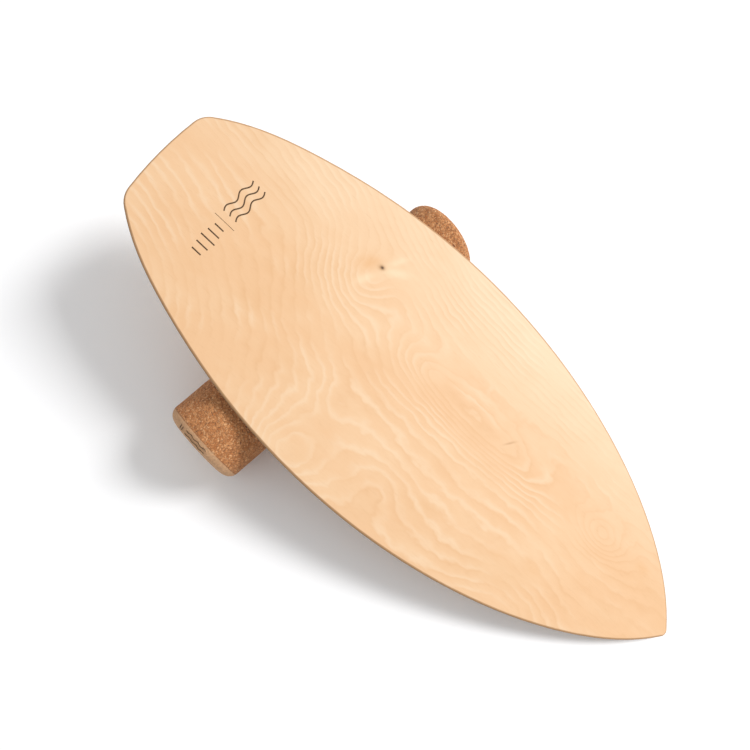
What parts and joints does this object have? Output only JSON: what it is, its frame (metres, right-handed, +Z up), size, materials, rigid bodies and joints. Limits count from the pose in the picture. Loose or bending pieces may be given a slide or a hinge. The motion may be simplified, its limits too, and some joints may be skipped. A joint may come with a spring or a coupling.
{
  "type": "balance board",
  "caption": "Surfboard-shaped plywood balance deck resting nose-down on a loose cork roller, with stop bars bolted underneath that limit the roll.",
  "frame": {"origin": "on the floor, under the middle of the object's box at rest", "axes": "+Y along the roller's axis, +X across the roller towards the deck's pointed nose, +Z up"},
  "size_m": [0.7474, 0.38, 0.1587],
  "materials": {
    "birch_face": "satin",
    "birch_core": "matte",
    "beech": "satin",
    "cork": "matte",
    "cork_fine": "matte",
    "core_tube": "matte",
    "zinc_steel": "satin"
  },
  "bodies": {
    "roller_core": {"core_tube": "core_tube"},
    "tilt_carrier": {"right_core_plug": "beech", "left_core_plug": "beech"},
    "roller": {"cork_sleeve": "cork", "right_end_disc": "cork_fine", "left_end_disc": "cork_fine"},
    "deck": {"back_veneer": "birch_face", "core_ply_1": "birch_core", "core_ply_2": "birch_core", "core_ply_3": "birch_core", "core_ply_4": "birch_core", "core_ply_5": "birch_core", "core_ply_6": "birch_core", "core_ply_7": "birch_core", "face_veneer": "birch_face", "tail_stop_bar": "beech", "tail_stop_buffer": "cork", "tail_stop_bolts": "zinc_steel", "tail_stop_washers": "zinc_steel", "tail_inserts": "zinc_steel", "nose_stop_bar": "beech", "nose_stop_buffer": "cork", "nose_stop_bolts": "zinc_steel", "nose_stop_washers": "zinc_steel", "nose_inserts": "zinc_steel"}
  },
  "joints": [
    {"name": "deck_tilt", "type": "hinge", "parent": "roller_core", "child": "tilt_carrier", "pos_m": [-0.14153, 0, 0.05], "axis": [0, -1, 0], "range_deg": [0, 23.2]},
    {"name": "deck_travel", "type": "slide", "parent": "tilt_carrier", "child": "deck", "axis": [-0.9809, 0, 0.1945], "range_m": [0, 0.23]},
    {"name": "roller_spin", "type": "hinge", "parent": "tilt_carrier", "child": "roller", "pos_m": [-0.14153, 0, 0.05], "axis": [0, -1, 0], "range_deg": [0, 263.56]}
  ],
  "couplings": [
    {"joint": "roller_spin", "follows": "deck_travel", "rad_per_m": 20}
  ]
}
